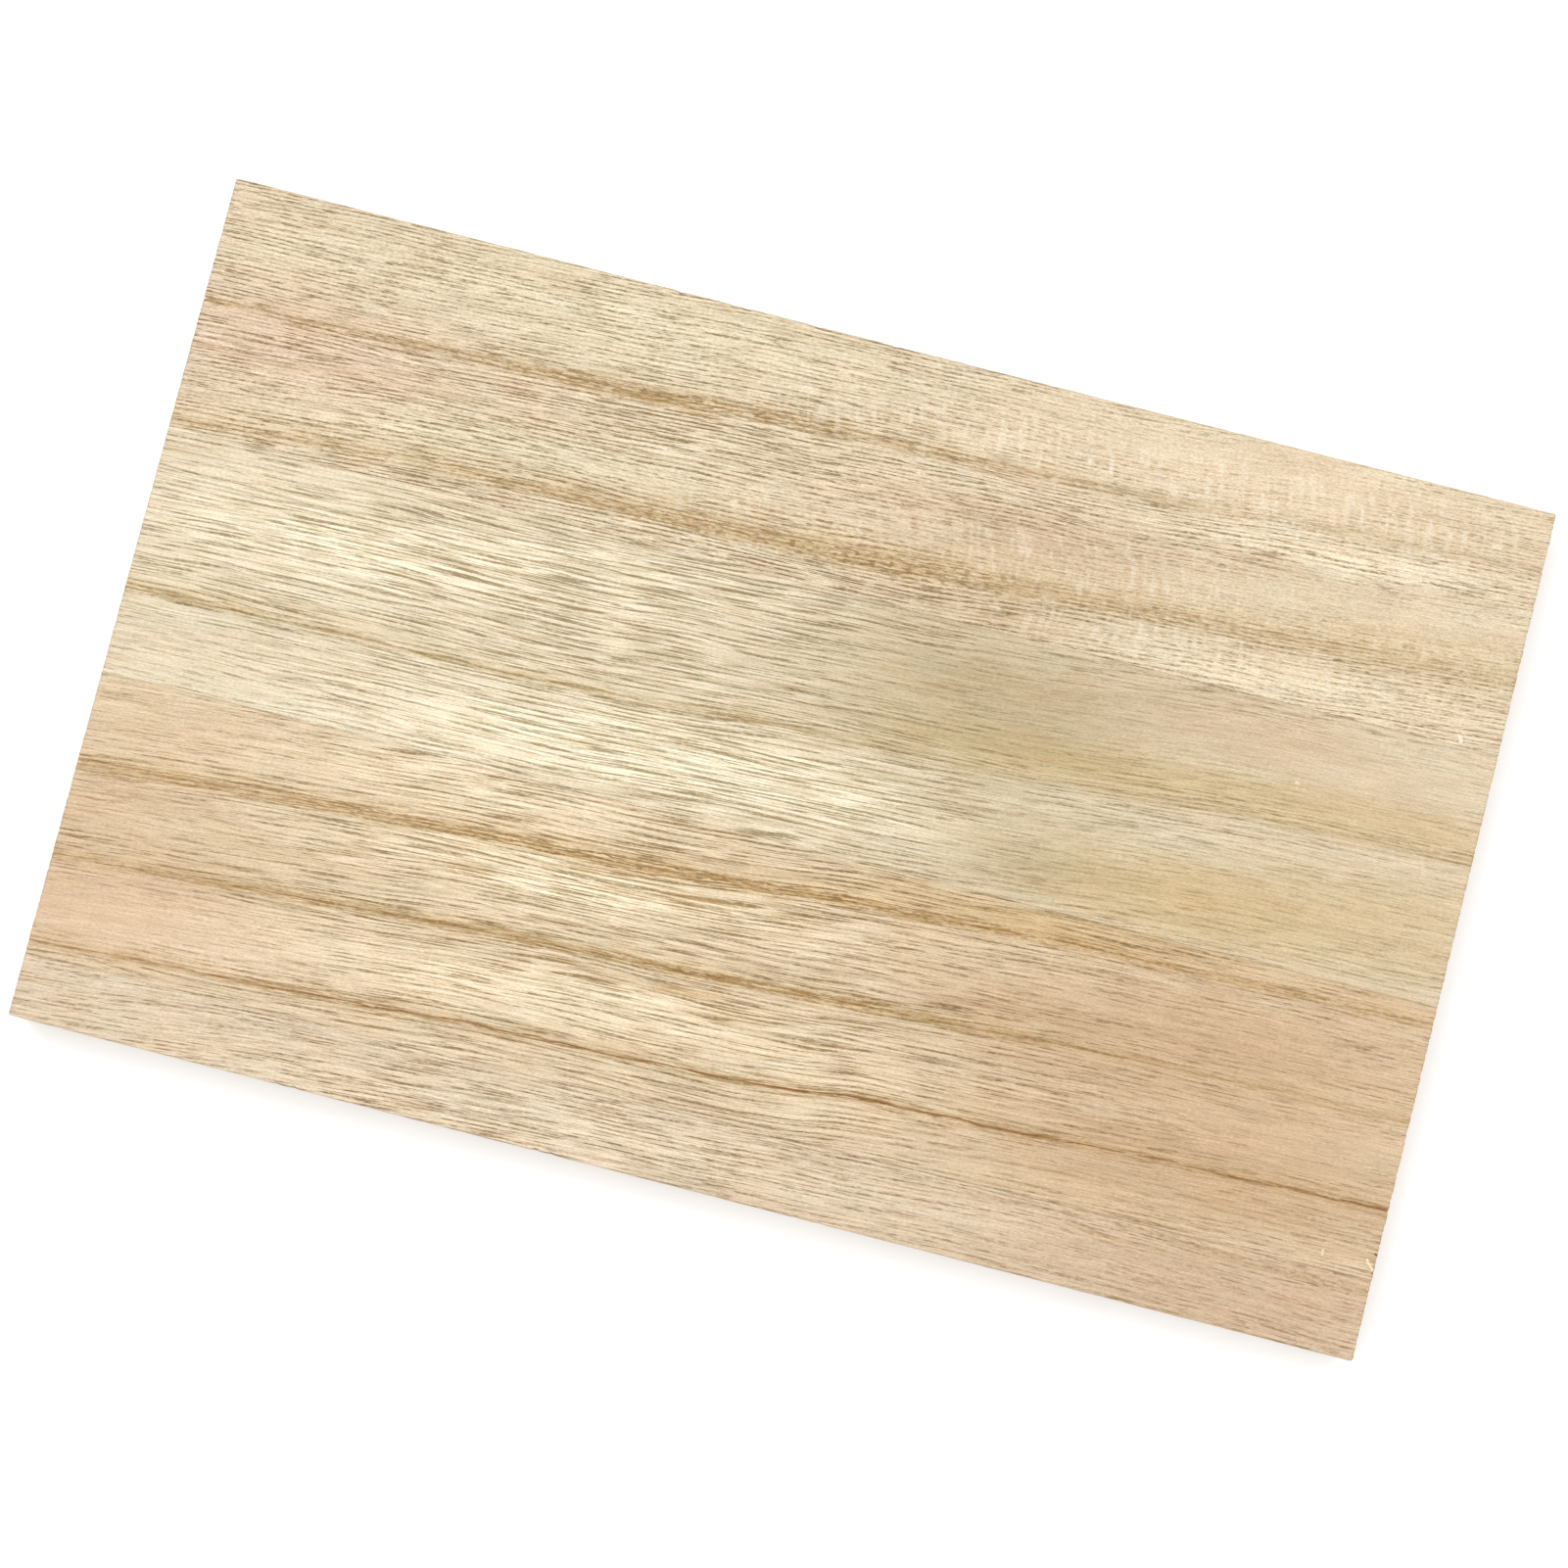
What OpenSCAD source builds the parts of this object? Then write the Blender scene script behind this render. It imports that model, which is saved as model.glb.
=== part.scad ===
// Rectangular craft board of pale plain-sawn wood, made of four laths
// glued edge to edge and planed and trimmed as one panel.
//
// Frame: millimetres, +Z up. The board lies flat on its back face.
// Origin: centre of the board's outline, on the back face (Z = 0).
// +X runs along the length, which is also the way the grain runs.
// +Y runs across the laths, towards the rear long edge.
//
// The panel was trimmed a little out of line with its glue joints, so each
// joint lies slightly closer to the rear edge at the right end than at the
// left, every lath tapers a little, and the front lath was ripped down to a
// narrow strip.

/* [Board] */
// Length of the board, along the grain
board_l = 300; // [200:5:600]
// Width of the board, across the laths
board_w = 190; // [186:1:240]
// Thickness of the board
board_t = 9; // [5:0.5:20]
// How far the sharp edges are eased, measured along each face
edge_ease = 0.3; // [0.1:0.1:1.0]

/* [Glue joints] */
// First joint: distance from the rear edge at the left end
joint_1_left = 57.0; // [50:0.2:62]
// First joint: distance from the rear edge at the right end
joint_1_right = 55.0; // [50:0.2:62]
// Second joint: distance from the rear edge at the left end
joint_2_left = 112.8; // [106:0.2:120]
// Second joint: distance from the rear edge at the right end
joint_2_right = 111.6; // [106:0.2:120]
// Third joint: distance from the rear edge at the left end
joint_3_left = 176.2; // [164:0.2:180]
// Third joint: distance from the rear edge at the right end
joint_3_right = 172.2; // [164:0.2:180]

/* [Hidden] */

half_l = board_l / 2;
half_w = board_w / 2;
// Distances past the board's own sides, so that the trimming solids cut clean
spare = 10;

// Where each seam meets the left and right end of the board, counted from the
// rear edge: the rear edge itself, the three joints, and the front edge
seams = [
    [0, 0],
    [joint_1_left, joint_1_right],
    [joint_2_left, joint_2_right],
    [joint_3_left, joint_3_right],
    [board_w, board_w]
];

// Y of seam i at a given X, on the straight line between its two ends
function seam_y(i, x) =
    half_w - seams[i][0]
    - (seams[i][1] - seams[i][0]) * (x + half_l) / board_l;

// Outline of a rectangle of size a by b, centred, with its corners cut by c
module eased_outline(a, b, c) {
    polygon([
        [-a / 2 + c, -b / 2], [a / 2 - c, -b / 2],
        [a / 2, -b / 2 + c], [a / 2, b / 2 - c],
        [a / 2 - c, b / 2], [-a / 2 + c, b / 2],
        [-a / 2, b / 2 - c], [-a / 2, -b / 2 + c]
    ]);
}

// The whole panel after trimming: a flat block whose edges are eased all
// round, on both faces and at the four upright corners
module trimmed_panel() {
    intersection() {
        linear_extrude(height = board_t)
            eased_outline(board_l, board_w, edge_ease);
        translate([0, half_w + spare, board_t / 2])
            rotate([90, 0, 0])
                linear_extrude(height = board_w + 2 * spare)
                    eased_outline(board_l, board_t, edge_ease);
        translate([-half_l - spare, 0, board_t / 2])
            rotate([90, 0, 90])
                linear_extrude(height = board_l + 2 * spare)
                    eased_outline(board_w, board_t, edge_ease);
    }
}

// Plan of the strip between seam i and seam i + 1, run out past both ends.
// The outermost laths also run out past the rear or the front edge, and the
// panel's own outline trims them.
module strip_plan(i) {
    rear = i == 0 ? spare : 0;
    front = i == len(seams) - 2 ? spare : 0;
    x0 = -half_l - spare;
    x1 = half_l + spare;
    polygon([
        [x0, seam_y(i + 1, x0) - front], [x1, seam_y(i + 1, x1) - front],
        [x1, seam_y(i, x1) + rear], [x0, seam_y(i, x0) + rear]
    ]);
}

// One lath: the part of the trimmed panel that lies between two seams
module lath(i) {
    intersection() {
        translate([0, 0, -spare])
            linear_extrude(height = board_t + 2 * spare)
                strip_plan(i);
        trimmed_panel();
    }
}

// Rear lath: even ring lines, tan-brown, with bright flecked bands
module rear_lath() {
    color([0.87, 0.77, 0.63]) lath(0);
}

// Second lath: pale cream at the left, smooth olive tan at the right
module second_lath() {
    color([0.90, 0.82, 0.69]) lath(1);
}

// Third lath: pinkish tan with golden-brown ring lines
module third_lath() {
    color([0.86, 0.75, 0.60]) lath(2);
}

// Front strip: the narrow remainder of the fourth lath
module front_strip() {
    color([0.84, 0.72, 0.56]) lath(3);
}

rear_lath();
second_lath();
third_lath();
front_strip();
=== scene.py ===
import math
import bpy
import numpy as np
from mathutils import Euler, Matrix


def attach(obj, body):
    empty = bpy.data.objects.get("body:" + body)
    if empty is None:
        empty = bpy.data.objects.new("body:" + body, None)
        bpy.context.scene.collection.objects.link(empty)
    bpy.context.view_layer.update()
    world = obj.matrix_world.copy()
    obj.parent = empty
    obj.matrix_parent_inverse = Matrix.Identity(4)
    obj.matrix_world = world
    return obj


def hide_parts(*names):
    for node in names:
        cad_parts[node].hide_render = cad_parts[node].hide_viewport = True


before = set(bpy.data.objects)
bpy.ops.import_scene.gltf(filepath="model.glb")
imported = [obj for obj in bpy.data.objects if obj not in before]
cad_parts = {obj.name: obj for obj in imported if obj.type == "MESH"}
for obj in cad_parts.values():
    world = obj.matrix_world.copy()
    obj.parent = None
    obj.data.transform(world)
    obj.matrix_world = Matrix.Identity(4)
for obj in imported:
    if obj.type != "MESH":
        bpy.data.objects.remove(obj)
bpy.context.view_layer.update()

# ---------------------------------------------------------------------------
# Sizes, in millimetres. "Face" coordinates run from the rear left corner:
# fx to the right along the grain, fy towards the front edge.
# ---------------------------------------------------------------------------
L, W, T = 300.0, 190.0, 9.0
EASE = 0.30
SEAMS = [(0.0, 0.0), (57.0, 55.0), (112.8, 111.6), (176.2, 172.2), (W, W)]
NAMES = ["rear_lath", "second_lath", "third_lath", "front_strip"]
GRIDS = [(390, 186), (312, 225), (300, 240), (540, 63)]
# How far a ring surface moves towards the front edge for each millimetre down
DIPS = [0.62, -0.50, 0.85, -0.70]


def seam(i, fx):
    a, b = SEAMS[i]
    return a + (b - a) * fx / L


# ---------------------------------------------------------------------------
# Seeded lattice noise, the same on every run
# ---------------------------------------------------------------------------
def _hash(ix, iy, iz, seed):
    h = (ix.astype(np.int64) * 374761393 + iy.astype(np.int64) * 668265263
         + iz.astype(np.int64) * 2147483647 + seed * 974634777) & 0xFFFFFFFF
    h = ((h ^ (h >> 13)) * 1274126177) & 0xFFFFFFFF
    h = ((h ^ (h >> 16)) * 2246822519) & 0xFFFFFFFF
    return ((h ^ (h >> 15)) & 0xFFFFFF) / float(0xFFFFFF)


def noise(x, y, z=None, seed=0, octaves=1):
    x = np.asarray(x, float)
    y = np.asarray(y, float)
    z = np.zeros_like(x) if z is None else np.asarray(z, float)
    total, amp, norm = 0.0, 1.0, 0.0
    for o in range(octaves):
        k = 2.0 ** o
        px, py, pz = x * k + 31.7 * o, y * k + 17.3 * o, z * k + 5.1 * o
        fx, fy, fz = np.floor(px), np.floor(py), np.floor(pz)
        ax, ay, az = px - fx, py - fy, pz - fz
        sx, sy, sz = (a * a * a * (a * (a * 6 - 15) + 10) for a in (ax, ay, az))
        out = 0.0
        for dx in (0, 1):
            for dy in (0, 1):
                for dz in (0, 1):
                    w = ((sx if dx else 1 - sx) * (sy if dy else 1 - sy)
                         * (sz if dz else 1 - sz))
                    out = out + w * _hash(fx + dx, fy + dy, fz + dz, seed + o)
        total = total + amp * out
        norm += amp
        amp *= 0.5
    return total / norm


def step(x, a, b):
    s = np.clip((x - a) / (b - a), 0.0, 1.0)
    return s * s * (3 - 2 * s)


# ---------------------------------------------------------------------------
# Ring lines on the face: points given as (fx, fy)
# ---------------------------------------------------------------------------
RINGS = {
    "r1": [(0, 28), (40, 26.4), (80, 24.8), (100, 24), (120, 22.6), (150, 21.4),
           (200, 19.4), (220, 18.4), (240, 16.4), (260, 15), (300, 13)],
    "r2": [(0, 55.6), (50, 51.6), (100, 49.6), (150, 47.8), (175, 46.5), (200, 44.8),
           (225, 43), (250, 41.6), (275, 39.6), (300, 37.8)],
    "r3": [(0, 93.6), (50, 91.8), (100, 90.6), (125, 89), (150, 87.4), (200, 85.2),
           (250, 81), (300, 79)],
    "r4": [(0, 133.4), (50, 129.4), (100, 126), (120, 125.2), (150, 122.8), (170, 120.8),
           (200, 119.3), (210, 118.4), (250, 117), (300, 115.4)],
    "r5": [(0, 154), (50, 150), (100, 146.6), (150, 144), (200, 141), (250, 138.4),
           (300, 137)],
    "r6": [(0, 173.2), (50, 170.1), (100, 167), (140, 165.3), (160, 164.2), (170, 163.3),
           (180, 161.8), (200, 161), (220, 160), (240, 158.8), (300, 156.7)],
    "r7": [(0, 188), (100, 180), (200, 175.5), (240, 174.2), (300, 174.6)],
}
LATH_RINGS = [["r1", "r2"], ["r3"], ["r4", "r5", "r6"], ["r7"]]


def curve(points, x):
    """Smooth curve through the points: Catmull-Rom on uneven steps."""
    px = np.array([p[0] for p in points], float)
    py = np.array([p[1] for p in points], float)
    m = np.gradient(py, px)
    i = np.clip(np.searchsorted(px, x, side="right") - 1, 0, len(px) - 2)
    h = px[i + 1] - px[i]
    t = np.clip((x - px[i]) / h, 0, 1)
    t2, t3 = t * t, t * t * t
    return ((2 * t3 - 3 * t2 + 1) * py[i] + (t3 - 2 * t2 + t) * h * m[i]
            + (-2 * t3 + 3 * t2) * py[i + 1] + (t3 - t2) * h * m[i + 1])


def along(points, x):
    return np.interp(x, [p[0] for p in points], [p[1] for p in points])


# Strength of each ring line along its length, and half-width of its dark core
AMP = {
    "r1": [(0, 0.55), (40, 0.62), (60, 0.64), (95, 0.90), (120, 0.92), (140, 0.80), (200, 0.42), (230, 0.36), (300, 0.26)],
    "r2": [(0, 0.50), (60, 0.60), (110, 0.90), (160, 1.0), (200, 0.60), (230, 0.45), (260, 0.32), (300, 0.24)],
    "r3": [(0, 0.85), (30, 0.60), (60, 0.50), (110, 0.50), (140, 0.50), (160, 0.25), (200, 0.20), (240, 0.26), (270, 0.30),
           (300, 0.30)],
    "r4": [(0, 0.50), (60, 0.72), (110, 0.95), (140, 0.95), (180, 0.88), (215, 0.85), (250, 0.65), (300, 0.55)],
    "r5": [(0, 0.50), (60, 0.72), (110, 0.78), (150, 0.95), (190, 0.85), (215, 0.50), (240, 0.35), (300, 0.28)],
    "r6": [(0, 0.40), (30, 0.60), (60, 0.95), (110, 0.80), (150, 0.90), (165, 1.0), (230, 0.95), (250, 0.82), (300, 0.78)],
    "r7": [(0, 0.0), (170, 0.0), (200, 0.15), (230, 0.38), (300, 0.50)],
}
WIDTH = {
    "r1": [(0, 0.7), (60, 0.9), (100, 1.4), (140, 1.2), (200, 0.9), (300, 1.0)],
    "r2": [(0, 0.7), (70, 0.9), (110, 1.4), (150, 2.2), (180, 2.2), (230, 1.8), (300, 1.7)],
    "r3": [(0, 0.8), (60, 0.8), (150, 0.8), (240, 0.8), (300, 0.9)],
    "r4": [(0, 0.9), (60, 1.2), (130, 1.3), (170, 1.1), (210, 0.8), (260, 0.8), (300, 0.8)],
    "r5": [(0, 0.8), (60, 0.95), (110, 0.95), (200, 0.9), (300, 0.9)],
    "r6": [(0, 0.85), (60, 0.75), (110, 0.62), (165, 0.70), (230, 0.72), (300, 0.62)],
    "r7": [(0, 0.6), (200, 0.7), (300, 0.9)],
}
# Soft tan zone beside each line: width above it, width below it, strength
HALO = {
    "r1": (2.8, 0.8, 0.50),
    "r2": (4.2, 1.3, 0.80),
    "r3": (3.2, 0.5, 0.50),
    "r4": (3.0, 1.0, 0.60),
    "r5": (2.0, 0.8, 0.50),
    "r6": (1.8, 0.7, 0.38),
    "r7": (1.4, 1.6, 0.40),
}


def srgb(r, g, b):
    def one(c):
        c = c / 255.0
        return c / 12.92 if c <= 0.04045 else ((c + 0.055) / 1.055) ** 2.4
    return (one(r), one(g), one(b))


def to_linear(c):
    c = np.clip(c, 0, 278) / 255.0
    return np.where(c <= 0.04045, c / 12.92, ((c + 0.055) / 1.055) ** 2.4)


# The wood's level under the light, which is set so that the floor stays white
LEVEL = 0.80

# Mean tone of each lath
MEAN = [(246, 229, 201), (242, 227, 199), (242, 221, 190), (242, 222, 195)]
# The ways in which the tone of this wood changes over a board, used also for painted light and shade; olive is only
# used as painted shade
TINTS = {
    "pale": (12, 14, 14),
    "green": (4, 10, 8),
    "peach": (10, 4, 0),
    "pink": (0, -8, -6),
    "tan": (-11, -16, -18),
    "olive": (-19, -21, -25),
    "gold": (-9, -14, -25),
}
# Soft areas on each lath: tint, strength, centre fx, fy, reach
# along and across the grain
AREAS = [
    [   # pinkish left end, greenish cream next to it, peach along the rear right
        ("pink", 1.0, 14, 32, 50, 12), ("green", 0.9, 90, 9, 72, 11), ("peach", 0.4, 265, 7, 70, 9),
        # pale between the tan bands at the right, paler still above the joint
        ("pale", 1.4, 255, 21, 52, 3.5), ("tan", 1.4, 188, 34, 42, 7), ("green", 0.8, 76, 43, 46, 6),
        ("gold", 0.5, 275, 38, 46, 7), ("pale", 1.3, 262, 50, 56, 5), ("tan", 0.8, 180, 53, 30, 4),
    ],
    [   # cream left half brightened with painted sheen, painted shade in the smoky olive right of the middle, golden right end
        ("pale", 1.5, 40, 74, 50, 11), ("pale", 1.0, 98, 64, 34, 6), ("olive", 1.0, 182, 71, 34, 16),
        ("gold", 0.9, 204, 80, 34, 4.5), ("tan", 1.1, 235, 64, 40, 10), ("gold", 1.0, 265, 76, 46, 5),
        # brightest strip of the board, which is painted sheen, then olive painted shade and gold
        ("pale", 1.9, 110, 101, 56, 9), ("pale", 1.1, 168, 100, 26, 8), ("olive", 1.1, 206, 103, 20, 9),
        ("gold", 1.4, 240, 103, 28, 9), ("gold", 0.7, 286, 98, 34, 12),
    ],
    [   # pink and tan at the left end, cream bands between the ring lines
        ("pink", 0.6, 14, 162, 36, 10), ("tan", 1.0, 8, 148, 40, 26), ("tan", 0.4, 20, 118, 40, 8), ("pale", 1.2, 85, 117, 40, 5),
        ("pale", 2.0, 112, 132, 44, 7), ("pale", 1.7, 108, 157, 52, 6), ("gold", 1.1, 212, 115, 36, 4),
        # warm tan over the right third
        ("tan", 1.3, 238, 134, 58, 13), ("tan", 1.6, 258, 161, 58, 13), ("pale", 0.7, 172, 158, 30, 12),
        ("pale", 0.4, 178, 130, 24, 5),
    ],
    [   # cream to the left, tan to the right
        ("pale", 0.8, 115, 185, 68, 6), ("tan", 1.7, 265, 184, 56, 10),
    ],
]
# Broad painted light and shade that run on over the joints, because they come
# from the light and not from one lath: painted sheen at the centre left, painted
# shade over the olive spot and towards the right
PANEL_LIGHT_AND_SHADE = [
    ("olive", 0.7, 192, 76, 38, 30), ("pale", 0.6, 92, 92, 80, 60), ("tan", 0.6, 285, 90, 48, 60),
    ("tan", 0.6, 250, 140, 60, 30),
]


def areas(marks):
    return [(fx, fy, rx, ry) + tuple(k * c for c in TINTS[t]) for t, k, fx, fy, rx, ry in marks]


ZONES = [areas(marks) for marks in AREAS]
# painted light and shade over the whole panel, added to the tone of each lath
PANEL = areas(PANEL_LIGHT_AND_SHADE)

# Where the pores show more or less: centre fx, fy, reach along and across the
# grain, and how much is added to the usual contrast
CONTRAST = [
    [(105, 27, 45, 8, 0.15), (230, 6, 54, 6, -0.58), (250, 14, 50, 4, -0.32), (95, 12, 100, 11, -0.13), (275, 31, 32, 6, -0.55), (190, 38, 30, 6, -0.36), (150, 36, 26, 8, -0.14),
     (60, 54, 30, 3, 0.2), (135, 55, 50, 3, 0.2), (30, 45, 40, 4, -0.1), (110, 42, 30, 3, -0.25), (230, 35, 20, 6, -0.42), (240, 50, 40, 4, -0.2)],
    [(100, 68, 60, 16, 0.30), (200, 69, 36, 12, -0.34), (265, 67, 45, 10, -0.56), (150, 72, 24, 8, -0.20), (25, 61, 26, 3, -0.3),
     (130, 100, 46, 11, 0.22), (215, 101, 30, 11, -0.26), (265, 98, 40, 12, -0.36), (170, 98, 22, 7, 0.12), (15, 104, 26, 8, -0.3), (40, 110, 50, 3, -0.25)],
    [(15, 120, 36, 7, -0.45), (20, 141, 32, 6, -0.40), (15, 163, 40, 6, -0.55), (130, 128, 48, 7, 0.2),
     (125, 150, 50, 5, 0.12), (240, 128, 40, 7, -0.22), (272, 130, 24, 5, -0.18), (275, 147, 30, 6, -0.35),
     (245, 165, 44, 5, -0.35), (195, 150, 34, 6, 0.04), (110, 134, 34, 4, 0.12), (100, 159, 40, 4, -0.12), (180, 130, 26, 5, -0.12)],
    [(30, 184, 40, 6, -0.15), (120, 184, 40, 6, 0.05), (230, 184, 60, 8, -0.25), (285, 184, 28, 8, -0.12)],
]
# Brown patches where pores crowd together
PATCHES = [
    [(104, 24.4, 8, 1.1, 0.9), (96, 25.6, 6, 0.7, 0.5), (112, 25.6, 6, 0.6, 0.5), (86, 26.0, 8, 0.6, 0.4),
     (20, 37.6, 22, 0.7, 0.4), (55, 35.4, 16, 0.6, 0.35), (70, 26.6, 8, 0.6, 0.3), (132, 48.2, 20, 1.0, 0.25)],
    [(15, 91.6, 14, 0.9, 0.35), (50, 66.5, 9, 0.9, 0.3), (86, 74.4, 8, 0.9, 0.3), (120, 79.6, 9, 1.0, 0.25)],
    [(113, 128.4, 7, 1.0, 0.6), (138, 128.2, 7, 1.0, 0.75), (126, 131.0, 6, 0.7, 0.3),
     (142, 148.8, 8, 1.2, 0.85), (153, 152.6, 6, 0.8, 0.35), (96, 148.6, 6, 0.8, 0.4),
     (117, 149.0, 6, 0.7, 0.35), (38, 138.0, 5, 1.0, 0.35), (20, 171.4, 14, 0.8, 0.4),
     (74, 170.2, 12, 0.9, 0.3), (60, 141.5, 40, 0.5, 0.2), (155, 125.6, 8, 0.6, 0.4)],
    [(250, 177.0, 26, 0.8, 0.35), (205, 176.6, 14, 0.6, 0.25)],
]
# Small single marks: from fx, fy to fx, fy, half-width, colour
MARKS = [
    [(290.7, 52.6, 291.4, 54.2, 0.42, (255, 246, 220)), (287.8, 10.2, 289.9, 10.5, 0.40, (250, 236, 206))],
    [(258.2, 71.5, 259.2, 71.8, 0.30, (246, 228, 190))],
    # a pale splinter at the right end, two dark dabs beside it that are its painted shadow, and a pale dab
    [(297.7, 168.0, 299.6, 170.0, 0.24, (255, 240, 204)), (299.1, 166.4, 299.8, 166.7, 0.26, (104, 84, 60)),
     (299.5, 170.5, 299.9, 170.8, 0.26, (122, 98, 68)), (288.1, 168.2, 288.2, 169.6, 0.22, (250, 230, 192))],
    [],
]
# Where short pale marks lie across the grain
FLECKS = [
    [(240, 11, 72, 6, 1.0), (160, 16, 40, 5, 0.6), (200, 37, 54, 7, 0.7), (232, 49, 56, 4.5, 0.85),
     (285, 36, 30, 6, 0.45), (120, 44, 26, 4, 0.4), (120, 18, 16, 3, 0.3)],
    [(230, 98, 50, 9, 0.10), (290, 82, 14, 4, 0.3)],
    [(60, 165, 30, 4, 0.2), (220, 150, 36, 5, 0.15)],
    [(200, 183, 40, 5, 0.15)],
]


PANEL_CONTRAST = [(255, 150, 62, 34, -0.14), (190, 80, 32, 30, -0.10), (105, 95, 85, 95, 0.10),
                  (305, 95, 50, 130, -0.14), (10, 168, 40, 18, -0.18)]


def zone_sum(zones, fx, fy):
    """Sum of soft zones, each drawn out along the slope of the grain."""
    cols = len(zones[0]) - 4
    out = np.zeros((len(fx), cols))
    for z in zones:
        dx = fx - z[0]
        dy = fy - z[1] + 0.055 * dx
        w = np.exp(-np.power((dx / z[2]) ** 2 + (dy / z[3]) ** 2, 1.15))
        out += w[:, None] * np.array(z[4:], float)[None, :]
    return out


def grain(i, x, y, z):
    """Grain coordinates, ring distances, tone and masks at points of lath i.
    x, y, z are in millimetres in the part's own frame."""
    fx, fy = x + L / 2, W / 2 - y
    down = T - z
    lift = DIPS[i] * down
    lines = [curve(RINGS[r], fx) for r in LATH_RINGS[i]]
    mids = [float(curve(RINGS[r], np.array([150.0]))[0]) for r in LATH_RINGS[i]]
    wob = 1.1 * (noise(fx / 55, fy / 13, down / 13, 11 + i) - 0.5) \
        + 0.35 * (noise(fx / 17, fy / 5, down / 5, 21 + i) - 0.5)
    fy_s = fy - lift
    shift = np.zeros_like(fx)
    if len(lines) == 1:
        shift = lines[0] - mids[0]
    else:
        shift = lines[0] - mids[0]
        for k in range(len(lines) - 1):
            f = np.clip((fy_s - lines[k]) / (lines[k + 1] - lines[k]), 0, 1)
            here = fy_s > lines[k]
            shift = np.where(here, (lines[k] - mids[k]) * (1 - f) + (lines[k + 1] - mids[k + 1]) * f, shift)
    gv = fy_s - shift + wob
    gu = fx + 2.0 * (noise(fx / 40, fy / 6, down / 6, 31 + i) - 0.5)
    g = np.stack([gu + 700 * i, gv + 37 * i, down * 1.0 + 0.0 * gu], 1)

    d = np.full((len(fx), 3), 60.0)
    amp = np.zeros((len(fx), 3))
    wid = np.full((len(fx), 3), 1.0)
    small = 0.30 * (noise(fx / 9, fy / 30, down / 4, 41 + i, 2) - 0.5)
    for k, r in enumerate(LATH_RINGS[i]):
        d[:, k] = fy_s - lines[k] + small
        amp[:, k] = along(AMP[r], fx)
        wid[:, k] = along(WIDTH[r], fx)

    # Deeper in the board the same tones drift and fade
    zx = fx * (1 - 0.10 * down / T) + 14 * down / T
    zy = fy - lift
    # the panel zones in this sum are painted light and shade
    tone = np.array(MEAN[i], float)[None, :] + zone_sum(ZONES[i] + PANEL, zx, zy) * (1 - 0.35 * down / T)[:, None]
    blot = noise(gu / 22, gv / 2.6, down / 2.6, 51 + i, 3) - 0.5
    blot2 = noise(gu / 34, gv / 1.1, down / 1.5, 61 + i, 2) - 0.5
    tone = tone + blot[:, None] * np.array([12, 13, 14]) + blot2[:, None] * np.array([6, 7, 8])
    hue = noise(gu / 11, gv / 3.4, down / 3.4, 101 + i, 2) - 0.5
    tone = tone + hue[:, None] * np.array([4, -3, -5])
    tone = to_linear(tone)

    pore = np.clip(0.78 + zone_sum(CONTRAST[i] + PANEL_CONTRAST, zx, zy)[:, 0], 0.05, 1.2)
    patch = np.clip(zone_sum(PATCHES[i], zx, zy)[:, 0], 0, 1)
    fleck = np.clip(zone_sum(FLECKS[i], zx, zy)[:, 0], 0, 1)
    return g, d, amp, wid, tone, np.stack([pore, patch, fleck], 1)


def vessels(g, pore):
    """The larger pores, cut into the mesh: long shallow grooves, 0 to 1."""
    n = noise(g[:, 0] / 19.0, g[:, 1] / 0.56, g[:, 2] / 0.56, 71) * 0.78 \
        + noise(g[:, 0] / 8.0, g[:, 1] / 2.2, g[:, 2] / 2.2, 72) * 0.22
    return step(n, 0.62, 0.80) * np.clip(pore, 0, 1)


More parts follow.
